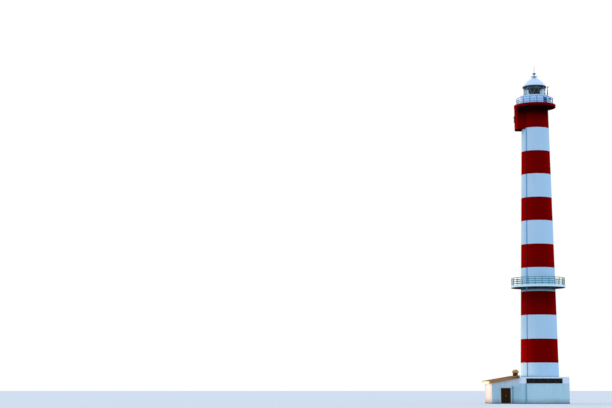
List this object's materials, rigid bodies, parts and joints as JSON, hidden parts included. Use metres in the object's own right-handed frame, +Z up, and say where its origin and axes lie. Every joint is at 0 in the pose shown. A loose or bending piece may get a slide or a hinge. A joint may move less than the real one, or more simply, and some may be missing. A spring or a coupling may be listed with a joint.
{
  "type": "half-size scale model of a lighthouse",
  "caption": "Tapered round lighthouse tower in red and white bands with two railed galleries, a glazed lantern and a low foot building with a double door.",
  "frame": {"origin": "on the tower's axis at ground level, on the underside of the foot slab", "axes": "+Z up along the tower; +X along the building's front, away from the wing; -Y is the front with the door"},
  "size_m": [5.075, 4.05, 21.3494],
  "materials": {
    "white_concrete": "painted concrete, white",
    "red_concrete": "painted concrete, red",
    "white_render": "painted render",
    "grey_concrete": "bare concrete",
    "brown_roof_sheet": "painted folded sheet",
    "brown_door": "stained",
    "white_trim": "painted",
    "dark_pipe": "painted",
    "green_rail": "painted pipe",
    "pale_rail": "painted pipe",
    "window_frame": "satin",
    "window_glass": "clear",
    "lantern_white": "painted",
    "lantern_bars": "painted",
    "lantern_glass": "clear",
    "lens_glass": "cut glass"
  },
  "bodies": {
    "root": {"block_back_wall": "white_render", "block_front_wall": "white_render", "block_right_wall": "white_render", "block_roof": "white_render", "cable_duct": "pale_rail", "chamber_floor": "red_concrete", "chamber_side_back": "red_concrete", "chamber_side_front": "red_concrete", "chamber_walls": "red_concrete", "door_frame": "white_trim", "doorstep": "grey_concrete", "drum_door": "dark_pipe", "finial": "lantern_bars", "foot_slab": "grey_concrete", "gallery_lamp": "dark_pipe", "glazing_bars": "lantern_bars", "lantern_drum": "lantern_white", "lantern_eave": "lantern_bars", "lantern_glass": "lantern_glass", "lantern_ledge": "lantern_white", "lantern_roof": "lantern_white", "lens": "lens_glass", "mid_gallery_railing": "green_rail", "mid_gallery_slab": "white_concrete", "party_beam": "white_render", "rainwater_pipes": "dark_pipe", "roof_cowl": "brown_roof_sheet", "shaft_base": "white_concrete", "shaft_lift_01": "red_concrete", "shaft_lift_02": "white_concrete", "shaft_lift_03": "red_concrete", "shaft_lift_04": "white_concrete", "shaft_lift_05": "white_concrete", "shaft_lift_06": "red_concrete", "shaft_lift_07": "white_concrete", "shaft_lift_08": "red_concrete", "shaft_lift_09": "white_concrete", "shaft_lift_10": "red_concrete", "shaft_lift_11": "white_concrete", "shaft_top": "red_concrete", "upper_gallery_railing": "pale_rail", "upper_gallery_slab": "red_concrete", "vent_cap": "lantern_bars", "wind_mast": "dark_pipe", "window_frames": "window_frame", "window_glass": "window_glass", "wing_back_wall": "white_render", "wing_end_wall": "white_render", "wing_fascia": "brown_roof_sheet", "wing_front_wall_left": "white_render", "wing_front_wall_right": "white_render", "wing_roof": "brown_roof_sheet", "wing_wall_over_door": "white_render"},
    "door_leaf_left": {"door_leaf_left": "brown_door"},
    "door_leaf_right": {"door_leaf_right": "brown_door"}
  },
  "joints": [
    {"name": "left_door_hinge", "type": "hinge", "parent": "root", "child": "door_leaf_left", "pos_m": [-2.67, -1.822, 0.5125], "axis": [0, 0, -1], "range_deg": [0, 95]},
    {"name": "right_door_hinge", "type": "hinge", "parent": "root", "child": "door_leaf_right", "pos_m": [-2.072, -1.822, 0.5125], "axis": [0, 0, 1], "range_deg": [0, 95]}
  ]
}
